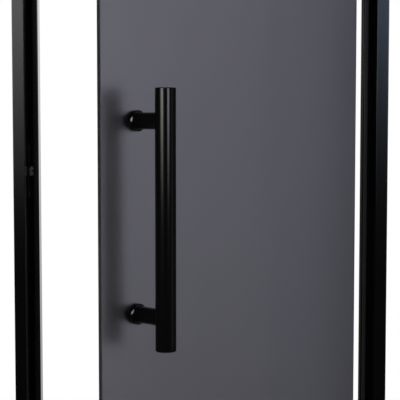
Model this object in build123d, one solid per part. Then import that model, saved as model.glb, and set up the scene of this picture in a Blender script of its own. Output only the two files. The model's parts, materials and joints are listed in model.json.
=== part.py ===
from build123d import *
import os

# A smoked glass door leaf standing ajar in a slim metal frame, in millimetres.
# Seen from outside, X runs to the right, Y into the building and Z up.
# The origin lies under the middle of the threshold. The leaf is built closed, then turned open.

# Frame profile
FRAME_WIDTH = 690.0
FRAME_HEIGHT = 1890.0
FRAME_DEPTH = 100.0
FACE_WIDTH = 21.5
STOP_PROJECTION = 16.5
REBATE_DEPTH = 69.0
PROFILE_WALL = 2.0
PROFILE_ARRIS = 0.8

# Seal, and its slot in the stop
SLOT_INSET = 6.0
SLOT_MOUTH = 3.0
SLOT_LIP = 1.5
SLOT_WIDTH = 6.0
SLOT_DEPTH = 3.0
SEAL_WIDTH = 8.0
SEAL_WALL = 1.0
SEAL_ROUND = 1.6
SEAL_CLEARANCE = 0.2
SEAL_TOUCH = 0.6

# Glass, with its gaps to the rebate and to the stop when closed
GLASS_THICKNESS = 8.0
GLASS_ARRIS = 0.8
HINGE_EDGE_GAP = 5.5
STRIKE_EDGE_GAP = 6.0
HEAD_GAP = 5.0
THRESHOLD_GAP = 5.0
STOP_GAP = 4.0
OPEN_ANGLE = 46.0

# Corner cleats and their screws
CLEAT_ARM = 70.0
CLEAT_THICKNESS = 12.0
CLEAT_ROUND = 6.0
CLEAT_CLEARANCE = 0.2
CLEAT_SCREW_REACH = 48.0
CLEAT_SCREW_HEAD = 5.0
CLEAT_SCREW_SHANK = 2.5
CLEAT_SCREW_LENGTH = 12.0

# Holes for the wall fixings
FIXING_RADIUS = 4.25
FIXING_INSET = 445.0
FIXING_SETBACK = 30.0

# Hinges, jamb side
HINGE_INSET = 250.0
HINGE_HEIGHT = 84.0
HINGE_PLATE = 3.0
HINGE_PLATE_WIDTH = 42.0
HINGE_CORNER = 4.0
HINGE_RUN_GAP = 0.5
PIVOT_SETBACK = 23.5
KNUCKLE_RADIUS = 7.5
KNUCKLE_HEIGHT = 22.0
PIN_RADIUS = 4.0
PIN_HEAD_RADIUS = 6.5
PIN_HEAD_HEIGHT = 3.0
PIN_HEAD_ROUND = 1.5
BACKING_THICKNESS = 6.0
BACKING_WIDTH = 32.0
HINGE_SCREW_REACH = 14.0
HINGE_SCREW_PITCH = 14.0
HINGE_SCREW_SPREAD = 56.0
HINGE_SCREW_HEAD = 5.5
HINGE_SCREW_SHANK = 3.0
HINGE_SCREW_LENGTH = 10.5

# Hinges, glass side
BUSH_WALL = 1.2
BUSH_FLANGE = 1.0
BUSH_FLANGE_RADIUS = 7.2
BUSH_LENGTH = 15.0
KNUCKLE_PLAY = 0.05
CLAMP_WIDTH = 56.0
CLAMP_THICKNESS = 5.0
CLAMP_ARRIS = 0.8
CLAMP_GASKET = 1.5
CLAMP_ARM = 8.0
CLAMP_GUSSET = 6.0
BACK_CLAMP_WIDTH = 42.0
BACK_CLAMP_STOP_GAP = 4.0
CLAMP_BOLT_INSET = 36.0
CLAMP_BOLT_SPREAD = 44.0
CLAMP_BOLT_HEAD = 8.0
CLAMP_BOLT_SHANK = 4.0
CLAMP_BOLT_BITE = 4.0
CLAMP_HOLE_RADIUS = 7.0

# Pull handle
HANDLE_HEIGHT = 1000.0
HANDLE_INSET = 71.5
HANDLE_REACH = 66.0
BAR_LENGTH = 400.0
BAR_RADIUS = 16.0
BAR_WALL = 2.0
BAR_ROUND = 1.5
CAP_THICKNESS = 3.0
CAP_PLUG = 10.0
POST_SPACING = 300.0
POST_RADIUS = 13.0
ROSETTE_RADIUS = 16.5
ROSETTE_THICKNESS = 7.5
ROSETTE_ROUND = 2.5
HANDLE_GASKET = 1.0
HANDLE_GASKET_RADIUS = 15.5
BACK_PLATE_RADIUS = 16.5
BACK_PLATE_THICKNESS = 6.0
BACK_PLATE_ROUND = 2.0
HANDLE_HOLE_RADIUS = 6.0
HANDLE_BOLT_HEAD = 8.0
HANDLE_BOLT_SHANK = 4.0
HANDLE_BOLT_BITE = 20.0

# Roller catch
CATCH_HEIGHT = 1055.0
CATCH_SETBACK = 50.0
CATCH_TRAVEL = 5.0
CATCH_RESERVE = 1.9
FACE_PLATE_THICKNESS = 1.5
FACE_PLATE_WIDTH = 24.0
FACE_PLATE_HEIGHT = 104.0
FACE_PLATE_CORNER = 4.0
CATCH_SCREW_SPACING = 86.0
CATCH_SCREW_HEAD = 3.6
CATCH_SCREW_SHANK = 2.0
CATCH_SCREW_LENGTH = 6.0
HOUSING_WIDTH = 22.0
HOUSING_HEIGHT = 32.0
HOUSING_FLANGE = 3.0
HOUSING_LUG = 7.0
HOUSING_LIP = 4.0
LID_THICKNESS = 1.5
PLUNGER_WIDTH = 12.0
PLUNGER_HEIGHT = 18.0
PLUNGER_CLEARANCE = 0.1
SHOULDER_PROJECTION = 2.0
SHOULDER_THICKNESS = 4.0
FORK_ARM = 3.0
FORK_RADIUS = 4.5
ROLLER_RADIUS = 6.0
ROLLER_PROJECTION = 9.0
ROLLER_END_PLAY = 0.3
ROLLER_SLOT_GAP = 0.5
ROLLER_PIN_RADIUS = 2.0
SPRING_RADIUS = 3.5
SPRING_WIRE_RADIUS = 0.4
SPRING_TURNS = 5
SPRING_SEAT_DEPTH = 4.0
SPRING_SEAT_GAP = 0.4
WINDOW_GAP = 0.3

# Fits and shares that serve every piece
SEAT_CLEARANCE = 0.02
RUNNING_CLEARANCE = 0.05
THREAD_CLEARANCE = 0.05
SLEEVE_CLEARANCE = 0.1
TAP_RUNOUT = 0.5
OVERRUN = 1.0
KEY_RADIUS_SHARE = 0.45
KEY_DEPTH_SHARE = 0.7

# Places that follow from the sizes
FRONT_Y = -FRAME_DEPTH / 2
STOP_WIDTH = FACE_WIDTH + STOP_PROJECTION
SLOT_MIDDLE = STOP_WIDTH - SLOT_INSET
WEB_FRONT = REBATE_DEPTH + SLOT_LIP + SLOT_DEPTH
WEB_BACK = WEB_FRONT + PROFILE_WALL
HINGE_SIDE_X = FRAME_WIDTH / 2 - FACE_WIDTH
STRIKE_SIDE_X = -HINGE_SIDE_X
STOP_INNER_X = FRAME_WIDTH / 2 - STOP_WIDTH
GLASS_BACK_Y = FRONT_Y + REBATE_DEPTH - STOP_GAP
GLASS_FRONT_Y = GLASS_BACK_Y - GLASS_THICKNESS
GLASS_RIGHT_X = HINGE_SIDE_X - HINGE_EDGE_GAP
GLASS_LEFT_X = STRIKE_SIDE_X + STRIKE_EDGE_GAP
GLASS_BOTTOM_Z = FACE_WIDTH + THRESHOLD_GAP
GLASS_TOP_Z = FRAME_HEIGHT - FACE_WIDTH - HEAD_GAP
PLATE_FACE_X = HINGE_SIDE_X - HINGE_PLATE
PIVOT_X = PLATE_FACE_X - HINGE_RUN_GAP - KNUCKLE_RADIUS
PIVOT_Y = FRONT_Y + PIVOT_SETBACK
HINGE_LEVELS = {"upper": FRAME_HEIGHT - HINGE_INSET, "lower": HINGE_INSET}
FIXING_LEVELS = (FIXING_INSET, FRAME_HEIGHT - FIXING_INSET)
POST_LEVELS = {"upper": HANDLE_HEIGHT + POST_SPACING / 2, "lower": HANDLE_HEIGHT - POST_SPACING / 2}
HANDLE_X = GLASS_LEFT_X + HANDLE_INSET
BAR_Y = GLASS_FRONT_Y - HANDLE_REACH
CATCH_Y = FRONT_Y + CATCH_SETBACK
ROLLER_X = STRIKE_SIDE_X + ROLLER_PROJECTION - ROLLER_RADIUS
JAMB_INSIDE_X = STRIKE_SIDE_X - PROFILE_WALL
SHOULDER_X = JAMB_INSIDE_X - HOUSING_LIP - PLUNGER_CLEARANCE
PLUNGER_REAR_X = SHOULDER_X - SHOULDER_THICKNESS
LID_X = PLUNGER_REAR_X - CATCH_TRAVEL - CATCH_RESERVE
BUSH_RADIUS = PIN_RADIUS + RUNNING_CLEARANCE + BUSH_WALL
MOVING_KNUCKLE = HINGE_HEIGHT - 2 * (KNUCKLE_HEIGHT + BUSH_FLANGE + KNUCKLE_PLAY)
CLAMP_RIGHT_X = PIVOT_X + CLAMP_ARM / 2
CLAMP_BACK_Y = GLASS_FRONT_Y - CLAMP_GASKET
CLAMP_FRONT_Y = CLAMP_BACK_Y - CLAMP_THICKNESS
BACK_CLAMP_RIGHT_X = STOP_INNER_X - BACK_CLAMP_STOP_GAP
BACK_CLAMP_Y = GLASS_BACK_Y + CLAMP_GASKET
CLAMP_BOLT_X = GLASS_RIGHT_X - CLAMP_BOLT_INSET
HINGE_AXIS = Axis((PIVOT_X, PIVOT_Y, 0), (0, 0, 1))


# Plain shapes

def block(x_range, y_range, z_range):
    """A box between the given low and high places."""
    ranges = (x_range, y_range, z_range)
    sizes = [high - low for low, high in ranges]
    middles = [(high + low) / 2 for low, high in ranges]
    return Pos(*middles) * Box(*sizes)


def around(middle, width):
    """The range of the given width about a middle."""
    return (middle - width / 2, middle + width / 2)


def rod(start, direction, radius, length):
    """A round bar from a point along a direction."""
    low = (Align.CENTER, Align.CENTER, Align.MIN)
    return Plane(origin=start, z_dir=direction) * Cylinder(radius, length, align=low)


def facing_plate(x_dir, normal, middle, width, height, corner, thickness):
    """A plate with round corners that grows from its middle along the normal."""
    plane = Plane(origin=middle, x_dir=x_dir, z_dir=normal)
    return extrude(plane * RectangleRounded(width, height, corner), thickness)


# Countersunk screws, with the flat of the head at the start point

def screw(start, direction, head, shank, length):
    """A countersunk screw with a hexagon socket."""
    depth = head - shank
    low = (Align.CENTER, Align.CENTER, Align.MIN)
    solid = Cone(head, shank, depth, align=low) + Cylinder(shank, length, align=low)
    solid -= extrude(RegularPolygon(head * KEY_RADIUS_SHARE, 6), depth * KEY_DEPTH_SHARE)
    return Plane(origin=start, z_dir=direction) * solid


def screw_hole(start, direction, head, shank, length):
    """The seat that such a screw needs, with room round it and past its point."""
    low = (Align.CENTER, Align.CENTER, Align.MIN)
    wide_head = head + THREAD_CLEARANCE
    wide_shank = shank + THREAD_CLEARANCE
    seat = Cone(wide_head, wide_shank, head - shank, align=low)
    seat += Cylinder(wide_shank, length + TAP_RUNOUT, align=low)
    return Plane(origin=start, z_dir=direction) * seat


# Frame profile, drawn from its outer front corner: first inwards, then backwards

def flat(x_range, y_range):
    """A rectangle between the given low and high places."""
    middles = [(high + low) / 2 for low, high in (x_range, y_range)]
    return Pos(*middles) * Rectangle(x_range[1] - x_range[0], y_range[1] - y_range[0])


def profile_section():
    """The hollow profile with its rebate, stop and seal slot."""
    points = [
        (0, 0),
        (FACE_WIDTH, 0),
        (FACE_WIDTH, REBATE_DEPTH),
        (STOP_WIDTH, REBATE_DEPTH),
        (STOP_WIDTH, FRAME_DEPTH),
        (0, FRAME_DEPTH),
    ]
    outline = make_face(Polyline(*points, close=True))
    rebate_corner = Vector(FACE_WIDTH, REBATE_DEPTH)
    arrises = [v for v in outline.vertices() if (Vector(v) - rebate_corner).length > PROFILE_WALL]
    section = fillet(arrises, PROFILE_ARRIS)
    section -= flat((PROFILE_WALL, FACE_WIDTH - PROFILE_WALL), (PROFILE_WALL, WEB_FRONT))
    section -= flat((PROFILE_WALL, STOP_WIDTH - PROFILE_WALL), (WEB_BACK, FRAME_DEPTH - PROFILE_WALL))
    section -= flat(around(SLOT_MIDDLE, SLOT_MOUTH), (REBATE_DEPTH - OVERRUN, REBATE_DEPTH + SLOT_LIP))
    section -= flat(around(SLOT_MIDDLE, SLOT_WIDTH), (REBATE_DEPTH + SLOT_LIP, WEB_FRONT))
    return section


def seal_section():
    """A hollow seal on a foot that snaps into the slot."""
    top = REBATE_DEPTH - STOP_GAP + SEAL_TOUCH
    bulb = flat(around(SLOT_MIDDLE, SEAL_WIDTH), (top, REBATE_DEPTH))
    rounded = [v for v in bulb.vertices() if v.Y < (top + REBATE_DEPTH) / 2]
    section = fillet(rounded, SEAL_ROUND)
    hollow = around(SLOT_MIDDLE, SEAL_WIDTH - 2 * SEAL_WALL)
    section -= flat(hollow, (top + SEAL_WALL, REBATE_DEPTH - SEAL_WALL))
    neck = SLOT_MOUTH - 2 * SEAL_CLEARANCE
    foot = SLOT_WIDTH - 2 * SEAL_CLEARANCE
    foot_top = REBATE_DEPTH + SLOT_LIP + SEAL_CLEARANCE
    section += flat(around(SLOT_MIDDLE, neck), (REBATE_DEPTH, foot_top))
    section += flat(around(SLOT_MIDDLE, foot), (foot_top, WEB_FRONT - SEAL_CLEARANCE))
    return section


def mitred(section, length):
    """A length of a section along Z with both ends cut at 45 degrees."""
    reach = STOP_WIDTH + OVERRUN
    points = [(-OVERRUN, -OVERRUN), (reach, -OVERRUN), (reach, reach)]
    corner = Plane.XZ * make_face(Polyline(*points, close=True))
    wedge = extrude(corner, FRAME_DEPTH + OVERRUN, both=True)
    bar = extrude(section, length)
    return bar - wedge - mirror(wedge, about=Plane.XY.offset(length / 2))


def frame_sides(section, stem):
    """The four lengths that go round the frame, by name."""
    upright = Pos(-FRAME_WIDTH / 2, FRONT_Y, 0) * mitred(section, FRAME_HEIGHT)
    level = Location((FRAME_WIDTH / 2, FRONT_Y, 0), (0, -90, 0)) * mitred(section, FRAME_WIDTH)
    return {
        f"{stem}_strike": upright,
        f"{stem}_hinge": mirror(upright, about=Plane.YZ),
        f"{stem}_threshold": level,
        f"{stem}_head": to_head(level),
    }


def to_head(shape):
    """The same shape at the other end of the frame's height."""
    return mirror(shape, about=Plane.XY.offset(FRAME_HEIGHT / 2))


# Corner cleats, worked out for the strike side of the threshold and mirrored to the others

def corner_cleat():
    """An L of two arms that lies in the rear chambers against the outer walls."""
    near = PROFILE_WALL + CLEAT_CLEARANCE
    far = near + CLEAT_THICKNESS
    points = [
        (near, near),
        (CLEAT_ARM, near),
        (CLEAT_ARM, far),
        (far, far),
        (far, CLEAT_ARM),
        (near, CLEAT_ARM),
    ]
    outline = make_face(Polyline(*points, close=True))
    inner = [v for v in outline.vertices() if (Vector(v) - Vector(far, far)).length < CLEAT_CLEARANCE]
    outline = fillet(inner, CLEAT_ROUND)
    depth = FRAME_DEPTH - PROFILE_WALL - WEB_BACK - 2 * CLEAT_CLEARANCE
    back = FRONT_Y + FRAME_DEPTH - PROFILE_WALL - CLEAT_CLEARANCE
    plane = Plane(origin=(-FRAME_WIDTH / 2, back, 0), x_dir=(1, 0, 0), z_dir=(0, -1, 0))
    return extrude(plane * outline, depth)


def cleat_screw_lines():
    """Start and direction of the two screws of one cleat."""
    middle_y = FRONT_Y + (WEB_BACK + FRAME_DEPTH - PROFILE_WALL) / 2
    corner_x = -FRAME_WIDTH / 2
    return [
        ((corner_x, middle_y, CLEAT_SCREW_REACH), (1, 0, 0)),
        ((corner_x + CLEAT_SCREW_REACH, middle_y, 0), (0, 0, 1)),
    ]


def four_corners(shape):
    """The shape at the four corners of the frame, by name."""
    right = mirror(shape, about=Plane.YZ)
    return {
        "strike_low": shape,
        "hinge_low": right,
        "strike_high": to_head(shape),
        "hinge_high": to_head(right),
    }


def together(shapes):
    """Several solids that make one node."""
    return Compound(children=[solid for shape in shapes for solid in shape.solids()])


def build_frame():
    """Profiles, seals, cleats and cleat screws."""
    nodes = frame_sides(profile_section(), "frame")
    nodes.update(frame_sides(seal_section(), "seal"))
    size = (CLEAT_SCREW_HEAD, CLEAT_SCREW_SHANK, CLEAT_SCREW_LENGTH)
    lines = cleat_screw_lines()
    holes = [screw_hole(*line, *size) for line in lines]
    cleat = corner_cleat() - holes[0] - holes[1]
    nodes.update({f"cleat_{name}": shape for name, shape in four_corners(cleat).items()})
    screws = [four_corners(screw(*line, *size)).values() for line in lines]
    nodes["cleat_screws"] = together([shape for group in screws for shape in group])
    for upright, level in zip(*[four_corners(hole).values() for hole in holes]):
        side = "frame_strike" if upright.center().X < 0 else "frame_hinge"
        end = "frame_threshold" if upright.center().Z < FRAME_HEIGHT / 2 else "frame_head"
        nodes[side] -= upright
        nodes[end] -= level
    for z in FIXING_LEVELS:
        start = (-FRAME_WIDTH / 2 - OVERRUN, FRONT_Y + FIXING_SETBACK, z)
        hole = rod(start, (1, 0, 0), FIXING_RADIUS, FACE_WIDTH + 2 * OVERRUN)
        nodes["frame_strike"] -= hole
        nodes["frame_hinge"] -= mirror(hole, about=Plane.YZ)
    return nodes


# Hinges, jamb side

def hinge_screw_lines(z):
    """Start and direction of the four screws of one jamb plate."""
    rows = (PIVOT_Y + HINGE_SCREW_REACH, PIVOT_Y + HINGE_SCREW_REACH + HINGE_SCREW_PITCH)
    levels = around(z, HINGE_SCREW_SPREAD)
    return [((PLATE_FACE_X, y, level), (1, 0, 0)) for y in rows for level in levels]


def hinge_jamb_plate(z):
    """A plate on the rebate with a fixed knuckle at each end."""
    y_low = PIVOT_Y - KNUCKLE_RADIUS
    middle = (HINGE_SIDE_X, y_low + HINGE_PLATE_WIDTH / 2, z)
    sizes = (HINGE_PLATE_WIDTH, HINGE_HEIGHT, HINGE_CORNER, HINGE_PLATE)
    plate = facing_plate((0, 1, 0), (-1, 0, 0), middle, *sizes)
    for low in (z - HINGE_HEIGHT / 2, z + HINGE_HEIGHT / 2 - KNUCKLE_HEIGHT):
        span = (low, low + KNUCKLE_HEIGHT)
        plate += rod((PIVOT_X, PIVOT_Y, low), (0, 0, 1), KNUCKLE_RADIUS, KNUCKLE_HEIGHT)
        plate += block((PIVOT_X, HINGE_SIDE_X), around(PIVOT_Y, 2 * KNUCKLE_RADIUS), span)
    bore_start = (PIVOT_X, PIVOT_Y, z - HINGE_HEIGHT / 2 - OVERRUN)
    return plate - rod(bore_start, (0, 0, 1), PIN_RADIUS + SEAT_CLEARANCE, HINGE_HEIGHT + 2 * OVERRUN)


def hinge_pin(z):
    """A pin that hangs by its head on the upper knuckle."""
    top = z + HINGE_HEIGHT / 2
    head = rod((PIVOT_X, PIVOT_Y, top), (0, 0, 1), PIN_HEAD_RADIUS, PIN_HEAD_HEIGHT)
    head = fillet(head.edges().group_by(Axis.Z)[-1], PIN_HEAD_ROUND)
    return head + rod((PIVOT_X, PIVOT_Y, top), (0, 0, -1), PIN_RADIUS, HINGE_HEIGHT)


def hinge_backing(z):
    """A tapped plate inside the jamb, behind the hinge's screws."""
    middle_y = PIVOT_Y + HINGE_SCREW_REACH + HINGE_SCREW_PITCH / 2
    x_low = HINGE_SIDE_X + PROFILE_WALL
    return block((x_low, x_low + BACKING_THICKNESS), around(middle_y, BACKING_WIDTH), around(z, HINGE_HEIGHT))


def build_hinge_jamb_side(nodes):
    """Jamb plates, pins, backing plates and screws, with their holes in the jamb."""
    size = (HINGE_SCREW_HEAD, HINGE_SCREW_SHANK, HINGE_SCREW_LENGTH)
    screws = []
    for name, z in HINGE_LEVELS.items():
        plate = hinge_jamb_plate(z)
        backing = hinge_backing(z)
        for line in hinge_screw_lines(z):
            hole = screw_hole(*line, *size)
            plate -= hole
            backing -= hole
            nodes["frame_hinge"] -= hole
            screws.append(screw(*line, *size))
        nodes[f"hinge_{name}_jamb_plate"] = plate
        nodes[f"hinge_{name}_backing"] = backing
        nodes[f"hinge_{name}_pin"] = hinge_pin(z)
    nodes["hinge_screws"] = together(screws)


# Hinges, glass side

def hinge_bushes(z):
    """Two flanged bushes, one in each end of the moving knuckle."""
    bushes = []
    for side in (1, -1):
        flange_z = z + side * MOVING_KNUCKLE / 2
        outward = (0, 0, side)
        inward = (0, 0, -side)
        base = (PIVOT_X, PIVOT_Y, flange_z)
        bush = rod(base, outward, BUSH_FLANGE_RADIUS, BUSH_FLANGE)
        bush += rod(base, inward, BUSH_RADIUS, BUSH_LENGTH)
        tip = (PIVOT_X, PIVOT_Y, flange_z + side * (BUSH_FLANGE + OVERRUN))
        bore = rod(tip, inward, PIN_RADIUS + RUNNING_CLEARANCE, BUSH_LENGTH + BUSH_FLANGE + 2 * OVERRUN)
        bushes.append(bush - bore)
    return together(bushes)


def clamp_bolt_lines(z):
    """Start and direction of the two bolts of one clamp, from its back."""
    start_y = BACK_CLAMP_Y + CLAMP_THICKNESS
    return [((CLAMP_BOLT_X, start_y, level), (0, -1, 0)) for level in around(z, CLAMP_BOLT_SPREAD)]


def front_clamp(z):
    """A plate on the glass with an arm that reaches forward to the moving knuckle."""
    middle = (CLAMP_RIGHT_X - CLAMP_WIDTH / 2, CLAMP_BACK_Y, z)
    sizes = (CLAMP_WIDTH, HINGE_HEIGHT, HINGE_CORNER, CLAMP_THICKNESS)
    plate = facing_plate((1, 0, 0), (0, -1, 0), middle, *sizes)
    plate = chamfer(plate.edges().group_by(Axis.Y)[0], CLAMP_ARRIS)
    left = CLAMP_RIGHT_X - CLAMP_ARM
    toe = left - CLAMP_GUSSET
    points = [
        (CLAMP_RIGHT_X, PIVOT_Y),
        (CLAMP_RIGHT_X, CLAMP_BACK_Y),
        (toe, CLAMP_BACK_Y),
        (toe, CLAMP_FRONT_Y),
        (left, CLAMP_FRONT_Y),
        (left, PIVOT_Y),
    ]
    outline = make_face(Polyline(*points, close=True))
    inner = [v for v in outline.vertices() if (Vector(v) - Vector(left, CLAMP_FRONT_Y)).length < CLAMP_ARRIS]
    outline = fillet(inner, CLAMP_GUSSET - CLAMP_ARRIS)
    low = z - MOVING_KNUCKLE / 2
    arm = extrude(Pos(0, 0, low) * outline, MOVING_KNUCKLE)
    knuckle = rod((PIVOT_X, PIVOT_Y, low), (0, 0, 1), KNUCKLE_RADIUS, MOVING_KNUCKLE)
    bore_start = (PIVOT_X, PIVOT_Y, low - OVERRUN)
    bore = rod(bore_start, (0, 0, 1), BUSH_RADIUS + SEAT_CLEARANCE, MOVING_KNUCKLE + 2 * OVERRUN)
    return plate + arm + knuckle - bore


def back_clamp(z):
    """The plate on the inside that the bolts pull against the glass."""
    middle = (BACK_CLAMP_RIGHT_X - BACK_CLAMP_WIDTH / 2, BACK_CLAMP_Y, z)
    sizes = (BACK_CLAMP_WIDTH, HINGE_HEIGHT, HINGE_CORNER, CLAMP_THICKNESS)
    plate = facing_plate((1, 0, 0), (0, 1, 0), middle, *sizes)
    return chamfer(plate.edges().group_by(Axis.Y)[-1], CLAMP_ARRIS)


def clamp_gasket(z, right_x, width, y_low):
    """A soft sheet between a clamp plate and the glass."""
    middle = (right_x - width / 2, y_low, z)
    return facing_plate((1, 0, 0), (0, 1, 0), middle, width, HINGE_HEIGHT, HINGE_CORNER, CLAMP_GASKET)


def glass_sleeve(x, z, hole_radius, bolt_radius):
    """A sleeve that keeps a bolt off the glass."""
    start = (x, GLASS_FRONT_Y, z)
    outside = rod(start, (0, 1, 0), hole_radius - SLEEVE_CLEARANCE, GLASS_THICKNESS)
    return outside - rod(start, (0, 1, 0), bolt_radius + SLEEVE_CLEARANCE, GLASS_THICKNESS)


def glass_hole(x, z, radius):
    """A cutter for a round hole through the pane."""
    return rod((x, GLASS_FRONT_Y - OVERRUN, z), (0, 1, 0), radius, GLASS_THICKNESS + 2 * OVERRUN)


def build_hinge_glass_side(nodes):
    """Clamps, gaskets, bushes, bolts and sleeves of both hinges."""
    grip = CLAMP_THICKNESS + 2 * CLAMP_GASKET + GLASS_THICKNESS + CLAMP_BOLT_BITE
    size = (CLAMP_BOLT_HEAD, CLAMP_BOLT_SHANK, grip)
    bolts = []
    sleeves = []
    for name, z in HINGE_LEVELS.items():
        pieces = {
            "front_clamp": front_clamp(z),
            "back_clamp": back_clamp(z),
            "front_gasket": clamp_gasket(z, CLAMP_RIGHT_X, CLAMP_WIDTH, CLAMP_BACK_Y),
            "back_gasket": clamp_gasket(z, BACK_CLAMP_RIGHT_X, BACK_CLAMP_WIDTH, GLASS_BACK_Y),
        }
        for line in clamp_bolt_lines(z):
            hole = screw_hole(*line, *size)
            pieces = {piece: shape - hole for piece, shape in pieces.items()}
            bolts.append(screw(*line, *size))
            sleeves.append(glass_sleeve(CLAMP_BOLT_X, line[0][2], CLAMP_HOLE_RADIUS, CLAMP_BOLT_SHANK))
        nodes.update({f"hinge_{name}_{piece}": shape for piece, shape in pieces.items()})
        nodes[f"hinge_{name}_bushes"] = hinge_bushes(z)
    nodes["clamp_bolts"] = together(bolts)
    nodes["clamp_sleeves"] = together(sleeves)


# Glass

def glass_pane():
    """The pane with polished edges, drilled for the hinges and the handle."""
    span = ((GLASS_LEFT_X, GLASS_RIGHT_X), (GLASS_FRONT_Y, GLASS_BACK_Y), (GLASS_BOTTOM_Z, GLASS_TOP_Z))
    pane = block(*span)
    faces = pane.faces().sort_by(Axis.Y)
    pane = chamfer(faces[0].edges() + faces[-1].edges(), GLASS_ARRIS)
    for z in HINGE_LEVELS.values():
        for level in around(z, CLAMP_BOLT_SPREAD):
            pane -= glass_hole(CLAMP_BOLT_X, level, CLAMP_HOLE_RADIUS)
    for z in POST_LEVELS.values():
        pane -= glass_hole(HANDLE_X, z, HANDLE_HOLE_RADIUS)
    return pane


# Pull handle

def handle_bar():
    """The tube, short of its two caps."""
    start = (HANDLE_X, BAR_Y, HANDLE_HEIGHT - BAR_LENGTH / 2 + CAP_THICKNESS)
    length = BAR_LENGTH - 2 * CAP_THICKNESS
    return rod(start, (0, 0, 1), BAR_RADIUS, length) - rod(start, (0, 0, 1), BAR_RADIUS - BAR_WALL, length)


def handle_cap(side):
    """A flush cap with a plug in the tube's end, up for 1 and down for -1."""
    seat = (HANDLE_X, BAR_Y, HANDLE_HEIGHT + side * (BAR_LENGTH / 2 - CAP_THICKNESS))
    disc = rod(seat, (0, 0, side), BAR_RADIUS, CAP_THICKNESS)
    rim = disc.edges().sort_by(Axis.Z)[-1 if side > 0 else 0]
    disc = fillet(rim, BAR_ROUND)
    return disc + rod(seat, (0, 0, -side), BAR_RADIUS - BAR_WALL - RUNNING_CLEARANCE, CAP_PLUG)


def handle_post(z):
    """A post coped to the bar and drilled from the glass for its bolt."""
    foot_y = GLASS_FRONT_Y - HANDLE_GASKET
    post = rod((HANDLE_X, foot_y, z), (0, -1, 0), POST_RADIUS, foot_y - BAR_Y)
    post -= rod((HANDLE_X, BAR_Y, z - BAR_RADIUS), (0, 0, 1), BAR_RADIUS, 2 * BAR_RADIUS)
    bore = HANDLE_BOLT_SHANK + THREAD_CLEARANCE
    return post - rod((HANDLE_X, foot_y, z), (0, -1, 0), bore, HANDLE_BOLT_BITE + TAP_RUNOUT)


def handle_rosette(z):
    """A ring round the post's foot, rounded in front."""
    foot_y = GLASS_FRONT_Y - HANDLE_GASKET
    ring = rod((HANDLE_X, foot_y, z), (0, -1, 0), ROSETTE_RADIUS, ROSETTE_THICKNESS)
    ring = fillet(ring.edges().sort_by(Axis.Y)[0], ROSETTE_ROUND)
    return ring - rod((HANDLE_X, foot_y, z), (0, -1, 0), POST_RADIUS + SLEEVE_CLEARANCE, ROSETTE_THICKNESS)


def handle_gasket(z, y_low):
    """A soft washer between metal and glass."""
    washer = rod((HANDLE_X, y_low, z), (0, 1, 0), HANDLE_GASKET_RADIUS, HANDLE_GASKET)
    return washer - rod((HANDLE_X, y_low, z), (0, 1, 0), HANDLE_BOLT_SHANK + SLEEVE_CLEARANCE, HANDLE_GASKET)


def build_handle(nodes):
    """Bar, caps, and at each post its rosette, gaskets, sleeve, back plate and bolt."""
    nodes["handle_bar"] = handle_bar()
    nodes["handle_cap_upper"] = handle_cap(1)
    nodes["handle_cap_lower"] = handle_cap(-1)
    plate_y = GLASS_BACK_Y + HANDLE_GASKET
    end_y = plate_y + BACK_PLATE_THICKNESS
    grip = BACK_PLATE_THICKNESS + 2 * HANDLE_GASKET + GLASS_THICKNESS + HANDLE_BOLT_BITE
    size = (HANDLE_BOLT_HEAD, HANDLE_BOLT_SHANK, grip)
    bolts = []
    sleeves = []
    back_gaskets = []
    for name, z in POST_LEVELS.items():
        line = ((HANDLE_X, end_y, z), (0, -1, 0))
        plate = rod((HANDLE_X, plate_y, z), (0, 1, 0), BACK_PLATE_RADIUS, BACK_PLATE_THICKNESS)
        plate = fillet(plate.edges().sort_by(Axis.Y)[-1], BACK_PLATE_ROUND)
        nodes[f"handle_back_plate_{name}"] = plate - screw_hole(*line, *size)
        nodes[f"handle_post_{name}"] = handle_post(z)
        nodes[f"handle_rosette_{name}"] = handle_rosette(z)
        nodes[f"handle_gasket_{name}"] = handle_gasket(z, GLASS_FRONT_Y - HANDLE_GASKET)
        bolts.append(screw(*line, *size))
        sleeves.append(glass_sleeve(HANDLE_X, z, HANDLE_HOLE_RADIUS, HANDLE_BOLT_SHANK))
        back_gaskets.append(handle_gasket(z, GLASS_BACK_Y))
    nodes["handle_bolts"] = together(bolts)
    nodes["handle_sleeves"] = together(sleeves)
    nodes["handle_back_gaskets"] = together(back_gaskets)


# Roller catch in the strike jamb

def plunger_window(x_range, gap):
    """A cutter for the opening that the plunger passes through."""
    y_range = around(CATCH_Y, PLUNGER_WIDTH + 2 * gap)
    return block(x_range, y_range, around(CATCH_HEIGHT, PLUNGER_HEIGHT + 2 * gap))


def catch_face_plate():
    """The plate on the rebate that the plunger comes out of."""
    middle = (STRIKE_SIDE_X, CATCH_Y, CATCH_HEIGHT)
    sizes = (FACE_PLATE_WIDTH, FACE_PLATE_HEIGHT, FACE_PLATE_CORNER, FACE_PLATE_THICKNESS)
    plate = facing_plate((0, 1, 0), (1, 0, 0), middle, *sizes)
    return plate - plunger_window((STRIKE_SIDE_X - OVERRUN, ROLLER_X + ROLLER_RADIUS), WINDOW_GAP)


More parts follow.
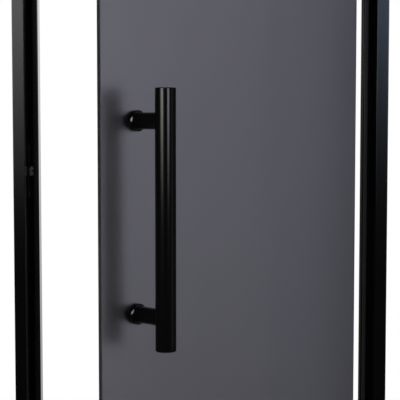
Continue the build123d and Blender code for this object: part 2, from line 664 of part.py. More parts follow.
def catch_housing():
    """A box on a long flange, open at the back, with a lip that keeps the plunger in."""
    y_range = around(CATCH_Y, HOUSING_WIDTH)
    housing = block((LID_X, JAMB_INSIDE_X), y_range, around(CATCH_HEIGHT, HOUSING_HEIGHT))
    flange_height = CATCH_SCREW_SPACING + 2 * HOUSING_LUG
    flange_x = (JAMB_INSIDE_X - HOUSING_FLANGE, JAMB_INSIDE_X)
    housing += block(flange_x, y_range, around(CATCH_HEIGHT, flange_height))
    pocket_gap = SHOULDER_PROJECTION + PLUNGER_CLEARANCE
    housing -= plunger_window((LID_X - OVERRUN, JAMB_INSIDE_X - HOUSING_LIP), pocket_gap)
    return housing - plunger_window((LID_X, JAMB_INSIDE_X + OVERRUN), PLUNGER_CLEARANCE)


def catch_lid():
    """The plate that closes the housing and backs the spring."""
    y_range = around(CATCH_Y, HOUSING_WIDTH)
    return block((LID_X - LID_THICKNESS, LID_X), y_range, around(CATCH_HEIGHT, HOUSING_HEIGHT))


def catch_plunger():
    """A shouldered block with a fork for the roller and a seat for the spring."""
    slot_x = ROLLER_X - ROLLER_RADIUS - ROLLER_SLOT_GAP
    low = CATCH_HEIGHT - PLUNGER_HEIGHT / 2
    plunger = plunger_window((PLUNGER_REAR_X, SHOULDER_X), SHOULDER_PROJECTION)
    plunger += plunger_window((SHOULDER_X, slot_x), 0)
    plunger += block((slot_x, ROLLER_X), around(CATCH_Y, 2 * FORK_RADIUS), (low, low + PLUNGER_HEIGHT))
    plunger += rod((ROLLER_X, CATCH_Y, low), (0, 0, 1), FORK_RADIUS, PLUNGER_HEIGHT)
    slot_height = PLUNGER_HEIGHT - 2 * FORK_ARM
    slot_span = (slot_x, ROLLER_X + ROLLER_RADIUS)
    plunger -= block(slot_span, around(CATCH_Y, PLUNGER_WIDTH), around(CATCH_HEIGHT, slot_height))
    bore_start = (ROLLER_X, CATCH_Y, low - OVERRUN)
    bore = rod(bore_start, (0, 0, 1), ROLLER_PIN_RADIUS + SEAT_CLEARANCE, PLUNGER_HEIGHT + 2 * OVERRUN)
    seat_radius = SPRING_RADIUS + SPRING_WIRE_RADIUS + SPRING_SEAT_GAP
    seat = rod((PLUNGER_REAR_X, CATCH_Y, CATCH_HEIGHT), (1, 0, 0), seat_radius, SPRING_SEAT_DEPTH)
    return plunger - bore - seat


def catch_roller():
    """The roller, free on its pin between the arms of the fork."""
    height = PLUNGER_HEIGHT - 2 * (FORK_ARM + ROLLER_END_PLAY)
    start = (ROLLER_X, CATCH_Y, CATCH_HEIGHT - height / 2)
    roller = rod(start, (0, 0, 1), ROLLER_RADIUS, height)
    return roller - rod(start, (0, 0, 1), ROLLER_PIN_RADIUS + RUNNING_CLEARANCE, height)


def catch_spring():
    """A helical spring between the plunger's seat and the lid."""
    length = PLUNGER_REAR_X + SPRING_SEAT_DEPTH - LID_X - 2 * SPRING_WIRE_RADIUS
    coil = Helix(length / SPRING_TURNS, length, SPRING_RADIUS)
    section = Plane(origin=coil @ 0, z_dir=coil % 0) * Circle(SPRING_WIRE_RADIUS)
    wire = sweep(section, path=coil, is_frenet=True)
    return Plane(origin=(LID_X + SPRING_WIRE_RADIUS, CATCH_Y, CATCH_HEIGHT), z_dir=(1, 0, 0)) * wire


def build_catch(nodes):
    """The catch's pieces and their openings in the jamb."""
    size = (CATCH_SCREW_HEAD, CATCH_SCREW_SHANK, CATCH_SCREW_LENGTH)
    plate = catch_face_plate()
    housing = catch_housing()
    screws = []
    for z in around(CATCH_HEIGHT, CATCH_SCREW_SPACING):
        line = ((STRIKE_SIDE_X + FACE_PLATE_THICKNESS, CATCH_Y, z), (-1, 0, 0))
        hole = screw_hole(*line, *size)
        plate -= hole
        housing -= hole
        nodes["frame_strike"] -= hole
        screws.append(screw(*line, *size))
    nodes["frame_strike"] -= plunger_window((JAMB_INSIDE_X - OVERRUN, STRIKE_SIDE_X + OVERRUN), WINDOW_GAP)
    pin_start = (ROLLER_X, CATCH_Y, CATCH_HEIGHT - PLUNGER_HEIGHT / 2)
    nodes["catch_face_plate"] = plate
    nodes["catch_housing"] = housing
    nodes["catch_screws"] = together(screws)
    nodes["catch_lid"] = catch_lid()
    nodes["catch_spring"] = catch_spring()
    nodes["catch_plunger"] = catch_plunger()
    nodes["catch_roller"] = catch_roller()
    nodes["catch_pin"] = rod(pin_start, (0, 0, 1), ROLLER_PIN_RADIUS, PLUNGER_HEIGHT)


# All pieces, with the leaf's turned open about the hinge pins

def build_leaf():
    """The pieces that swing, at the angle the door stands open."""
    closed = {"glass_pane": glass_pane()}
    build_hinge_glass_side(closed)
    build_handle(closed)
    return {name: shape.rotate(HINGE_AXIS, OPEN_ANGLE) for name, shape in closed.items()}


def build_door():
    """Every piece of the door, by name."""
    nodes = build_frame()
    build_hinge_jamb_side(nodes)
    build_catch(nodes)
    nodes.update(build_leaf())
    return nodes


os.makedirs("parts", exist_ok=True)
for node_name, node_shape in build_door().items():
    export_step(node_shape, f"parts/{node_name}.step")
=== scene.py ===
import json
import math

import bmesh
import bpy
import numpy as np
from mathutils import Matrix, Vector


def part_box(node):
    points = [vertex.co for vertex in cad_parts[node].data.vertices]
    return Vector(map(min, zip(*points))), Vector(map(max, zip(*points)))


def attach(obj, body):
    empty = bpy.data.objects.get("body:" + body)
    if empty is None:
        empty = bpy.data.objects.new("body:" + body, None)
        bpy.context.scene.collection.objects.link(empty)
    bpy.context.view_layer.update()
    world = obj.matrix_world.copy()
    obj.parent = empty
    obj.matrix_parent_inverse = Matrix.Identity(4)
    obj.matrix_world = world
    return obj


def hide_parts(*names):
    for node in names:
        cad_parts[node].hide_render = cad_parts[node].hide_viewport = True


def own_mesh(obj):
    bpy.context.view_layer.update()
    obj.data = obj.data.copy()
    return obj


# A smoked glass door ajar in a black frame, in metres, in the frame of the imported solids.

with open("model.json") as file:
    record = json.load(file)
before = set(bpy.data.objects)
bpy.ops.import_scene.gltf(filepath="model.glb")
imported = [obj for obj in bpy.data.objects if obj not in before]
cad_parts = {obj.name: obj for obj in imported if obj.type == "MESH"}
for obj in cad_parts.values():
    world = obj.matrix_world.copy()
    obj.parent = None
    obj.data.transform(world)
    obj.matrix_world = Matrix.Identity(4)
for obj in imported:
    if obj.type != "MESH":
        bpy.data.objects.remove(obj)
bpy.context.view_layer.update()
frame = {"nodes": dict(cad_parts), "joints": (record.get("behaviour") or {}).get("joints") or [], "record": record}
door_nodes = frame["nodes"]
leaf_swing = next(joint for joint in frame["joints"] if joint["name"] == "leaf_swing")
HINGE_PIN = np.array(leaf_swing["pos_m"], float)
OPEN_ANGLE = -math.radians(leaf_swing["range_deg"][0])

# Handle, in places of the closed leaf
BAR_PLACE = np.array((-0.246, -0.059, 1.0))
BAR_LENGTH = 0.400
BAR_RADIUS = 0.016
BAR_WALL = 0.002
BAR_ROWS = 9
CAP_THICKNESS = 0.003
CAP_PLUG = 0.010
CAP_PLAY = 0.00005
CAP_ROUND = 0.0015
SEAM_CHAMFER = 0.00018
POST_RADIUS = 0.013
POST_LEVELS = {"upper": 1.150, "lower": 0.850}
POST_FOOT = 0.006
POST_END_RINGS = 7
POST_SIDE_RINGS = 9
ROSETTE_RADIUS = 0.0165
ROSETTE_THICKNESS = 0.0075
ROSETTE_ROUND = 0.0025
ROSETTE_ROUND_STEPS = 12
ROSETTE_BORE = 0.0131
ROSETTE_GROOVE = 0.0003
ROSETTE_GROOVE_SHARE = 0.62

# Glass pane, in places of the closed leaf
PANE_ALONG = (-0.3175, 0.318)
PANE_UP = (0.0265, 1.8635)
PANE_ARRIS = 0.0008

# Catch roller
ROLLER_PLACE = np.array((-0.3205, 0.0, 1.055))
ROLLER_BORE = 0.00205
ROLLER_RIM = 0.0003
ROLLER_CORE = 0.003
ROLLER_DISCS = ((-0.0057, -0.0031, 0.006), (-0.0008, 0.0008, 0.0046), (0.0031, 0.0057, 0.006))

# Catch spring
COIL_RADIUS = 0.0035
COIL_WIRE = 0.0004
COIL_TURNS = 5
COIL_STEPS = 36
COIL_SIDES = 12

# Fineness of the meshes
ROUND_COLUMNS = 128
ROLLER_COLUMNS = 96
MERGE_GAP = 1e-7
SLIVER_GAP = 1e-8
SHARP_ANGLE = math.radians(32)


# Numpy surfaces

def placed(name, data):
    """A new object in the scene."""
    thing = bpy.data.objects.new(name, data)
    bpy.context.scene.collection.objects.link(thing)
    return thing


def turned_open(points):
    """Closed-leaf points turned by the open angle about the hinge pins: p' = pin + R(p - pin)."""
    cos, sin = math.cos(OPEN_ANGLE), math.sin(OPEN_ANGLE)
    turn = np.array(((cos, -sin, 0.0), (sin, cos, 0.0), (0.0, 0.0, 1.0)))
    return (points - HINGE_PIN) @ turn.T + HINGE_PIN


def surface_piece(name, grid, closed_profile=False):
    """A mesh from a grid of points, rows along a profile and columns round it. Columns close on themselves;
    rows close too for a ring, and otherwise the first and last rows are poles. Doubles are merged."""
    rows, columns = grid.shape[:2]
    index = np.arange(rows * columns).reshape(rows, columns)
    below = index if closed_profile else index[:-1]
    above = np.roll(index, -1, axis=0) if closed_profile else index[1:]
    quads = np.stack((below, np.roll(below, -1, axis=1), np.roll(above, -1, axis=1), above), axis=-1)
    mesh = bpy.data.meshes.new(name)
    mesh.from_pydata(grid.reshape(-1, 3).tolist(), [], quads.reshape(-1, 4).tolist())
    work = bmesh.new()
    work.from_mesh(mesh)
    bmesh.ops.remove_doubles(work, verts=work.verts, dist=MERGE_GAP)
    bmesh.ops.dissolve_degenerate(work, edges=work.edges, dist=SLIVER_GAP)
    bmesh.ops.recalc_face_normals(work, faces=work.faces)
    work.to_mesh(mesh)
    work.free()
    mesh.shade_smooth()
    mesh.set_sharp_from_angle(angle=SHARP_ANGLE)
    return placed(name, mesh)


def round_corner(start, corner, end, radius, steps=8):
    """Points of an arc that rounds a right-angled corner between two points of a profile."""
    start, corner, end = (np.array(p, float) for p in (start, corner, end))
    into = (start - corner) / np.linalg.norm(start - corner)
    out = (end - corner) / np.linalg.norm(end - corner)
    centre = corner + radius * (into + out)
    angle = np.linspace(0.0, math.pi / 2, steps)[:, None]
    return centre - radius * (out * np.cos(angle) + into * np.sin(angle))


def turned_about(profile, place, along, across, columns=ROUND_COLUMNS):
    """Surface of revolution: each (radius, height) of the profile goes round the axis through a place.
    p = place + height * along + radius * (cos a * across + sin a * (along x across))."""
    profile = np.asarray(profile, float)
    along, across = np.array(along, float), np.array(across, float)
    side = np.cross(along, across)
    angle = np.linspace(0.0, 2 * math.pi, columns, endpoint=False)
    rim = np.cos(angle)[:, None] * across + np.sin(angle)[:, None] * side
    return place + profile[:, 1, None, None] * along + profile[:, 0, None, None] * rim[None]


# Handle pieces

def pull_bar():
    """The tube: a closed ring profile with a fine chamfer at each end, turned about the bar's axis."""
    half = BAR_LENGTH / 2 - CAP_THICKNESS
    bore = BAR_RADIUS - BAR_WALL
    inset = BAR_RADIUS - SEAM_CHAMFER
    sides = np.linspace(-half + SEAM_CHAMFER, half - SEAM_CHAMFER, BAR_ROWS)
    profile = [(bore, -half), (inset, -half)]
    profile += [(BAR_RADIUS, height) for height in sides]
    profile += [(inset, half), (bore, half)]
    grid = turned_about(profile, BAR_PLACE, (0, 0, 1), (1, 0, 0))
    piece = surface_piece("pull_bar", turned_open(grid), closed_profile=True)
    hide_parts("handle_bar")
    return piece


def bar_cap(name, side):
    """A flush cap: plug, seam chamfer, short side and rounded rim, turned about the bar's axis."""
    plug = BAR_RADIUS - BAR_WALL - CAP_PLAY
    rim = round_corner((BAR_RADIUS, 0), (BAR_RADIUS, CAP_THICKNESS), (0, CAP_THICKNESS), CAP_ROUND)
    profile = [(0, -CAP_PLUG), (plug, -CAP_PLUG), (plug, 0)]
    profile += [(BAR_RADIUS - SEAM_CHAMFER, 0), (BAR_RADIUS, SEAM_CHAMFER)]
    profile += [tuple(point) for point in rim] + [(0, CAP_THICKNESS)]
    place = BAR_PLACE + np.array((0, 0, side * (BAR_LENGTH / 2 - CAP_THICKNESS)))
    grid = turned_about(profile, place, (0, 0, side), (1, 0, 0))
    piece = surface_piece(f"bar_cap_{name}", turned_open(grid))
    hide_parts(f"handle_cap_{name}")
    return piece


def coped_post(name, level):
    """A post whose free end follows the bar: y runs from the foot to bar_y + sqrt(R^2 - x^2)."""
    angle = np.linspace(0.0, 2 * math.pi, ROUND_COLUMNS, endpoint=False)
    inner = np.linspace(0.0, 1.0, POST_END_RINGS)
    rings = [(share, 0.0) for share in inner]
    rings += [(1.0, share) for share in np.linspace(0.0, 1.0, POST_SIDE_RINGS)[1:]]
    rings += [(share, 1.0) for share in inner[::-1][1:]]
    rings = np.array(rings) * (POST_RADIUS, 1.0)
    x = rings[:, :1] * np.cos(angle)
    z = rings[:, :1] * np.sin(angle)
    end = BAR_PLACE[1] + np.sqrt(BAR_RADIUS ** 2 - x ** 2)
    y = POST_FOOT + rings[:, 1:] * (end - POST_FOOT)
    grid = np.stack((BAR_PLACE[0] + x, y, level + z), axis=-1)
    piece = surface_piece(f"bar_post_{name}", turned_open(grid))
    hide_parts(f"handle_post_{name}")
    return piece


def post_rosette(name, level):
    """A ring round the post's foot: bore, flat back, a fine groove and a rounded front edge,
    turned about the post."""
    front = ROSETTE_THICKNESS
    groove = front * ROSETTE_GROOVE_SHARE
    corner = ((ROSETTE_RADIUS, 0), (ROSETTE_RADIUS, front), (0, front))
    rim = round_corner(*corner, ROSETTE_ROUND, ROSETTE_ROUND_STEPS)
    profile = [(ROSETTE_BORE, 0), (ROSETTE_RADIUS - SEAM_CHAMFER, 0), (ROSETTE_RADIUS, SEAM_CHAMFER)]
    profile += [(ROSETTE_RADIUS, groove - ROSETTE_GROOVE), (ROSETTE_RADIUS - ROSETTE_GROOVE, groove)]
    profile += [(ROSETTE_RADIUS, groove + ROSETTE_GROOVE)]
    profile += [tuple(point) for point in rim] + [(ROSETTE_BORE, front)]
    place = np.array((BAR_PLACE[0], POST_FOOT, level))
    grid = turned_about(profile, place, (0, -1, 0), (1, 0, 0))
    piece = surface_piece(f"post_rosette_{name}", turned_open(grid), closed_profile=True)
    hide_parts(f"handle_rosette_{name}")
    return piece


# Catch pieces

def grooved_roller():
    """Two rims and a low rib on one core: a stepped ring profile, with broken edges, turned about
    the upright pin."""
    profile = [(ROLLER_BORE, ROLLER_DISCS[0][0])]
    for start, end, radius in ROLLER_DISCS:
        edge = radius - ROLLER_RIM
        profile += [(ROLLER_CORE, start), (edge, start), (radius, start + ROLLER_RIM)]
        profile += [(radius, end - ROLLER_RIM), (edge, end), (ROLLER_CORE, end)]
    profile += [(ROLLER_BORE, ROLLER_DISCS[-1][1])]
    grid = turned_about(profile, ROLLER_PLACE, (0, 0, 1), (1, 0, 0), ROLLER_COLUMNS)
    piece = surface_piece("grooved_roller", grid, closed_profile=True)
    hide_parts("catch_roller")
    return piece


def coil_spring():
    """A round wire on a helix, closed at its ends: x = start + length * a / (2 pi turns), y and z
    on a circle."""
    low, high = (np.array(corner, float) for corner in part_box("catch_spring"))
    middle = (low + high) / 2
    length = high[0] - low[0] - 2 * COIL_WIRE
    angle = np.linspace(0.0, 2 * math.pi * COIL_TURNS, COIL_STEPS * COIL_TURNS + 1)
    still = np.zeros_like(angle)
    outward = np.stack((still, np.cos(angle), np.sin(angle)), axis=-1)
    line = COIL_RADIUS * outward + (0.0, middle[1], middle[2])
    line[:, 0] = low[0] + COIL_WIRE + length * angle / angle[-1]
    slope = length / angle[-1]
    forward = np.stack((still + slope, -COIL_RADIUS * np.sin(angle), COIL_RADIUS * np.cos(angle)), axis=-1)
    forward /= np.linalg.norm(forward, axis=1, keepdims=True)
    across = np.cross(forward, outward)
    turn = np.linspace(0.0, 2 * math.pi, COIL_SIDES, endpoint=False)[None, :, None]
    rings = line[:, None] + COIL_WIRE * (np.cos(turn) * outward[:, None] + np.sin(turn) * across[:, None])
    ends = [np.repeat(line[place][None, None], COIL_SIDES, axis=1) for place in (0, -1)]
    piece = surface_piece("coil_spring", np.concatenate((ends[0], rings, ends[1])))
    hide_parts("catch_spring")
    return piece, low


handle_pieces = [pull_bar(), bar_cap("upper", 1), bar_cap("lower", -1)]
for level_name, post_level in POST_LEVELS.items():
    handle_pieces += [coped_post(level_name, post_level), post_rosette(level_name, post_level)]
roller_piece = grooved_roller()
spring_piece, spring_seat = coil_spring()


# Shader nodes

def math_node(nodes, operation, value=None):
    """A maths node, with its second input set where a value is given."""
    node = nodes.new("ShaderNodeMath")
    node.operation = operation
    if value is not None:
        node.inputs[1].default_value = value
    return node


def vector_node(nodes, operation):
    """A vector maths node."""
    node = nodes.new("ShaderNodeVectorMath")
    node.operation = operation
    return node


def share_node(nodes, low, high):
    """A node that turns a value between two limits into a share from 0 to 1."""
    node = nodes.new("ShaderNodeMapRange")
    node.inputs["From Min"].default_value = low
    node.inputs["From Max"].default_value = high
    return node


def group_socket(group, name, kind, out=False, default=None):
    """One named input or output of a node group."""
    socket = group.interface.new_socket(name, in_out="OUTPUT" if out else "INPUT", socket_type=kind)
    if default is not None:
        socket.default_value = default


MOTTLE_SCALE = 9.0
MOTTLE_DETAIL = 4.0
GRAIN_SCALE = 700.0
GRAIN_DETAIL = 2.0
NOISE_SPAN = (0.3, 0.7)
BUMP_DISTANCE = 0.00002
BUMP_STRENGTH = 0.5


def coat_grain_group():
    """Two sizes of noise on Object coordinates: a broad mottle and a fine grain, each from 0 to 1."""
    group = bpy.data.node_groups.new("coat_grain", "ShaderNodeTree")
    group_socket(group, "Mottle Scale", "NodeSocketFloat", default=MOTTLE_SCALE)
    group_socket(group, "Grain Scale", "NodeSocketFloat", default=GRAIN_SCALE)
    group_socket(group, "Stretch", "NodeSocketVector", default=(1.0, 1.0, 1.0))
    group_socket(group, "Mottle", "NodeSocketFloat", out=True)
    group_socket(group, "Grain", "NodeSocketFloat", out=True)
    nodes, links = group.nodes, group.links
    given = nodes.new("NodeGroupInput")
    given_out = nodes.new("NodeGroupOutput")
    place = nodes.new("ShaderNodeTexCoord")
    stretch = vector_node(nodes, "MULTIPLY")
    links.new(place.outputs["Object"], stretch.inputs[0])
    links.new(given.outputs["Stretch"], stretch.inputs[1])
    for socket_name, detail in (("Mottle", MOTTLE_DETAIL), ("Grain", GRAIN_DETAIL)):
        noise = nodes.new("ShaderNodeTexNoise")
        noise.inputs["Detail"].default_value = detail
        spread = share_node(nodes, *NOISE_SPAN)
        links.new(stretch.outputs["Vector"], noise.inputs["Vector"])
        links.new(given.outputs[f"{socket_name} Scale"], noise.inputs["Scale"])
        links.new(noise.outputs["Fac"], spread.inputs["Value"])
        links.new(spread.outputs["Result"], given_out.inputs[socket_name])
    return group


COAT_GRAIN = coat_grain_group()


# Finishes

def blank_finish(name):
    """A new material with its Principled shader."""
    finish = bpy.data.materials.new(name)
    finish.use_nodes = True
    shader = finish.node_tree.nodes["Principled BSDF"]
    return finish, finish.node_tree.nodes, finish.node_tree.links, shader


def grain_texture(nodes, mottle, grain, stretch=(1, 1, 1)):
    """The two grains as one group node in a material."""
    texture = nodes.new("ShaderNodeGroup")
    texture.node_tree = COAT_GRAIN
    texture.inputs["Mottle Scale"].default_value = mottle
    texture.inputs["Grain Scale"].default_value = grain
    texture.inputs["Stretch"].default_value = stretch
    return texture


def ranged(nodes, links, source, low, high, target):
    """Carries a 0 to 1 value to a socket, spread between two values."""
    spread = nodes.new("ShaderNodeMapRange")
    spread.inputs["To Min"].default_value = low
    spread.inputs["To Max"].default_value = high
    links.new(source, spread.inputs["Value"])
    links.new(spread.outputs["Result"], target)


def tinted(nodes, links, source, low, high, target):
    """Carries a 0 to 1 value to a colour socket, between two colours."""
    blend = nodes.new("ShaderNodeMix")
    blend.data_type = "RGBA"
    blend.inputs["A"].default_value = (*low, 1.0)
    blend.inputs["B"].default_value = (*high, 1.0)
    links.new(source, blend.inputs["Factor"])
    links.new(blend.outputs["Result"], target)


def grained_finish(name, dark, light, rough, mottle=MOTTLE_SCALE, grain=GRAIN_SCALE, stretch=(1, 1, 1),
                   bump=BUMP_DISTANCE, metallic=0.0, specular=0.5):
    """A coat, metal, rubber or plastic whose colour, roughness and relief follow the two grains."""
    finish, nodes, links, shader = blank_finish(name)
    texture = grain_texture(nodes, mottle, grain, stretch)
    tinted(nodes, links, texture.outputs["Mottle"], dark, light, shader.inputs["Base Color"])
    ranged(nodes, links, texture.outputs["Grain"], *rough, shader.inputs["Roughness"])
    relief = nodes.new("ShaderNodeBump")
    relief.inputs["Distance"].default_value = bump
    relief.inputs["Strength"].default_value = BUMP_STRENGTH
    links.new(texture.outputs["Grain"], relief.inputs["Height"])
    links.new(relief.outputs["Normal"], shader.inputs["Normal"])
    shader.inputs["Metallic"].default_value = metallic
    shader.inputs["Specular IOR Level"].default_value = specular
    return finish


GLASS_DARK = (0.092, 0.089, 0.095)
GLASS_LIGHT = (0.098, 0.095, 0.101)
GLASS_ROUGH = (0.24, 0.26)
GLASS_MOTTLE = 5.0
GLASS_GRAIN = 500.0
GLASS_IOR = 1.52
FILM_IOR = 8.0
FILM_ROUGH = 0.355
FACE_FILM = 1.0
EDGE_FILM = 0.5


def film_cover(nodes, links, target):
    """Full film on the pane's faces and less on its arrises and edges: past |s - middle| = half - arris."""
    place = nodes.new("ShaderNodeTexCoord")
    along = vector_node(nodes, "DOT_PRODUCT")
    leaf_axis = np.array((math.cos(OPEN_ANGLE), math.sin(OPEN_ANGLE), 0.0))
    along.inputs[1].default_value = leaf_axis
    links.new(place.outputs["Object"], along.inputs[0])
    up = nodes.new("ShaderNodeSeparateXYZ")
    links.new(place.outputs["Object"], up.inputs["Vector"])
    shift = float(leaf_axis @ HINGE_PIN - HINGE_PIN[0])
    past = []
    spans = ((along.outputs["Value"], PANE_ALONG, shift), (up.outputs["Z"], PANE_UP, 0.0))
    for source, ends, offset in spans:
        away = math_node(nodes, "SUBTRACT", sum(ends) / 2 + offset)
        size = math_node(nodes, "ABSOLUTE")
        beyond = math_node(nodes, "GREATER_THAN", (ends[1] - ends[0]) / 2 - PANE_ARRIS)
        links.new(source, away.inputs[0])
        links.new(away.outputs["Value"], size.inputs[0])
        links.new(size.outputs["Value"], beyond.inputs[0])
        past.append(beyond.outputs["Value"])
    either = math_node(nodes, "MAXIMUM")
    links.new(past[0], either.inputs[0])
    links.new(past[1], either.inputs[1])
    ranged(nodes, links, either.outputs["Value"], FACE_FILM, EDGE_FILM, target)


def smoked_glass():
    """Dark smoked glass under a reflecting satin film, with a faint mottle in its tint."""
    finish, nodes, links, shader = blank_finish("smoked_glass_satin")
    texture = grain_texture(nodes, GLASS_MOTTLE, GLASS_GRAIN)
    tinted(nodes, links, texture.outputs["Mottle"], GLASS_DARK, GLASS_LIGHT, shader.inputs["Base Color"])
    ranged(nodes, links, texture.outputs["Grain"], *GLASS_ROUGH, shader.inputs["Roughness"])
    shader.inputs["Transmission Weight"].default_value = 1.0
    shader.inputs["IOR"].default_value = GLASS_IOR
    film_cover(nodes, links, shader.inputs["Coat Weight"])
    shader.inputs["Coat IOR"].default_value = FILM_IOR
    shader.inputs["Coat Roughness"].default_value = FILM_ROUGH
    return finish


BLACK = (0.002, 0.0019, 0.002)
SOFT_BLACK = (0.003, 0.0028, 0.0029)
FINISHES = {
    "frame_coat": grained_finish("satin_black_frame", BLACK, SOFT_BLACK, (0.12, 0.15), grain=900.0),
    "hinge_coat": grained_finish("satin_black_hinge", BLACK, SOFT_BLACK, (0.26, 0.32), grain=900.0),
    "handle_coat": grained_finish(
        "satin_black_handle", BLACK, SOFT_BLACK, (0.13, 0.15), 14.0, 1100.0, (1, 1, 0.04), 0.000008,
        specular=0.25),
    "catch_black": grained_finish("black_catch_plate", BLACK, SOFT_BLACK, (0.36, 0.44), grain=1400.0),
    "seal_rubber": grained_finish(
        "black_seal_rubber", (0.006, 0.006, 0.006), (0.01, 0.0095, 0.0095), (0.5, 0.6), 20.0, 1600.0),
    "gasket_rubber": grained_finish(
        "black_gasket_rubber", (0.007, 0.007, 0.007), (0.012, 0.0115, 0.0115), (0.55, 0.65),
        20.0, 1600.0),
    "cleat_aluminium": grained_finish(
        "cast_cleat", (0.42, 0.42, 0.43), (0.55, 0.55, 0.56), (0.38, 0.5), 25.0, 900.0, metallic=1.0),
    "screw_steel": grained_finish(
        "blackened_screw", (0.06, 0.06, 0.062), (0.11, 0.11, 0.112), (0.3, 0.4), 60.0, 1500.0,
        metallic=1.0),
    "catch_steel": grained_finish(
        "bright_catch_steel", (0.4, 0.36, 0.32), (0.52, 0.47, 0.42), (0.28, 0.38), 60.0, 1500.0, (1, 1, 0.1),
        metallic=1.0),
    "bush_brass": grained_finish(
        "turned_brass", (0.55, 0.37, 0.14), (0.68, 0.47, 0.19), (0.24, 0.34), 60.0, 1500.0, (1, 1, 6),
        metallic=1.0),
    "sleeve_nylon": grained_finish(
        "clear_nylon", (0.62, 0.61, 0.57), (0.7, 0.69, 0.65), (0.4, 0.5), 40.0, 1200.0),
    "roller_nylon": grained_finish(
        "brown_nylon_roller", (0.13, 0.11, 0.095), (0.17, 0.145, 0.128), (0.35, 0.45), 60.0, 1200.0),
    "smoked_glass": smoked_glass(),
}
PLATE_SCREW_FINISH = grained_finish(
    "dull_zinc_screw", (0.24, 0.23, 0.21), (0.31, 0.3, 0.28), (0.4, 0.5), 60.0, 1500.0, metallic=0.7)
ROSETTE_FINISH = grained_finish(
    "gloss_black_rosette", BLACK, SOFT_BLACK, (0.09, 0.12), 14.0, 1100.0, specular=1.0)

for entry in frame["record"]["subparts"]:
    node_mesh = door_nodes[entry["node"]].data
    node_mesh.materials.clear()
    node_mesh.materials.append(FINISHES[entry["material_slot"]])
door_nodes["catch_screws"].data.materials[0] = PLATE_SCREW_FINISH

for piece in handle_pieces:
    rosette = piece.name.startswith("post_rosette")
    piece.data.materials.append(ROSETTE_FINISH if rosette else FINISHES["handle_coat"])
    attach(piece, "leaf")

roller_piece.data.materials.append(FINISHES["roller_nylon"])
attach(roller_piece, "catch_roller")

spring_piece.data.materials.append(FINISHES["catch_steel"])
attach(spring_piece, "frame")
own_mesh(spring_piece)


# Studio

FLOOR_RADIUS = 9.0
FLOOR_SIDES = 96
FLOOR_LEVEL = -0.0005
FLOOR_SHADE = 0.95
FLOOR_ROUGH = 0.9
FLOOR_FADE = (0.6, 1.9)


def studio_floor():
    """A pale floor that fades to plain white away from the door."""
    mesh = bpy.data.meshes.new("studio_floor")
    angle = np.linspace(0.0, 2 * math.pi, FLOOR_SIDES, endpoint=False)
    level = np.full(FLOOR_SIDES, FLOOR_LEVEL)
    rim = np.stack((FLOOR_RADIUS * np.cos(angle), FLOOR_RADIUS * np.sin(angle), level), axis=-1)
    mesh.from_pydata(rim.tolist(), [], [list(range(FLOOR_SIDES))])
    floor = placed("studio_floor", mesh)
    floor.visible_glossy = False
    finish, nodes, links, shader = blank_finish("pale_floor")
    shader.inputs["Base Color"].default_value = (FLOOR_SHADE, FLOOR_SHADE, FLOOR_SHADE, 1.0)
    shader.inputs["Roughness"].default_value = FLOOR_ROUGH
    shader.inputs["Specular IOR Level"].default_value = 0.0
    place = nodes.new("ShaderNodeTexCoord")
    reach = vector_node(nodes, "LENGTH")
    fade = share_node(nodes, *FLOOR_FADE)
    fade.interpolation_type = "SMOOTHSTEP"
    white = nodes.new("ShaderNodeEmission")
    blend = nodes.new("ShaderNodeMixShader")
    links.new(place.outputs["Object"], reach.inputs[0])
    links.new(reach.outputs["Value"], fade.inputs["Value"])
    links.new(fade.outputs["Result"], blend.inputs["Fac"])
    links.new(shader.outputs["BSDF"], blend.inputs[1])
    links.new(white.outputs["Emission"], blend.inputs[2])
    links.new(blend.outputs["Shader"], nodes["Material Output"].inputs["Surface"])
    mesh.materials.append(finish)


def colour_ramp(nodes, stops, first, last, level=1.0):
    """A colour ramp with its stops as places between first and last, and its colours divided by a level."""
    ramp = nodes.new("ShaderNodeValToRGB")
    elements = ramp.color_ramp.elements
    while len(elements) < len(stops):
        elements.new(0.5)
    for element, (place, colour) in zip(elements, stops):
        element.position = (place - first) / (last - first)
        element.color = (*(value / level for value in colour), 1.0)
    return ramp


def panel_receivers(name, state):
    """A light-linking list that holds the glass pane alone, either taken in or left out."""
    receivers = bpy.data.collections.new(name)
    receivers.objects.link(door_nodes["glass_pane"])
    receivers.collection_objects[0].light_linking.link_state = state
    return receivers


PANEL_TOP = 2.4
FIRST_REFLECTION = 1.5


